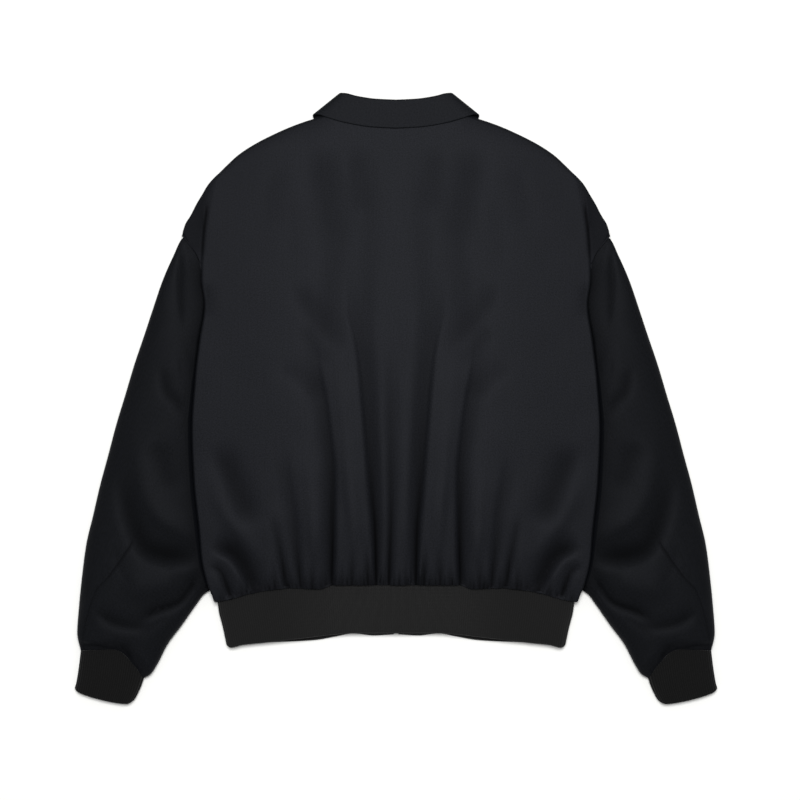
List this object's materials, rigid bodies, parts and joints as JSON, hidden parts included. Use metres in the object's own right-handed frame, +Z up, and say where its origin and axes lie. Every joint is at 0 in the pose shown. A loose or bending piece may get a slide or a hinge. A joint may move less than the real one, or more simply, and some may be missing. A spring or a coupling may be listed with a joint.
{
  "type": "coach jacket",
  "caption": "Short black zip jacket with a fold-down collar, full sleeves and rib hem and cuffs, closed and laid face down with its gathered back on top.",
  "frame": {"origin": "on the surface it lies on, at the middle of the laid jacket's outline", "axes": "+X across the jacket towards the wearer's right sleeve, +Y towards the collar, +Z up through the back panel, away from the surface"},
  "size_m": [0.805, 0.7652, 0.0338],
  "materials": {
    "black_gabardine": "soft fine twill with a faint sheen",
    "black_rib_knit": "matt fine rib knit",
    "black_zip_tape": "matt woven tape",
    "dark_zip_metal": "satin"
  },
  "bodies": {
    "root": {"back_panel": "black_gabardine", "front_left": "black_gabardine", "front_right": "black_gabardine", "sleeve_top_left": "black_gabardine", "sleeve_top_right": "black_gabardine", "sleeve_under_left": "black_gabardine", "sleeve_under_right": "black_gabardine", "cuff_left": "black_rib_knit", "cuff_right": "black_rib_knit", "hem_rib": "black_rib_knit", "collar": "black_gabardine", "zip_tape_left": "black_zip_tape", "zip_tape_right": "black_zip_tape", "zip_slider": "dark_zip_metal"},
    "zip_pull": {"zip_pull": "dark_zip_metal"}
  },
  "joints": [
    {"name": "pull_swing", "type": "hinge", "parent": "root", "child": "zip_pull", "pos_m": [0, 0.243, 0.00195], "axis": [1, 0, 0], "range_deg": [0, 175]}
  ]
}
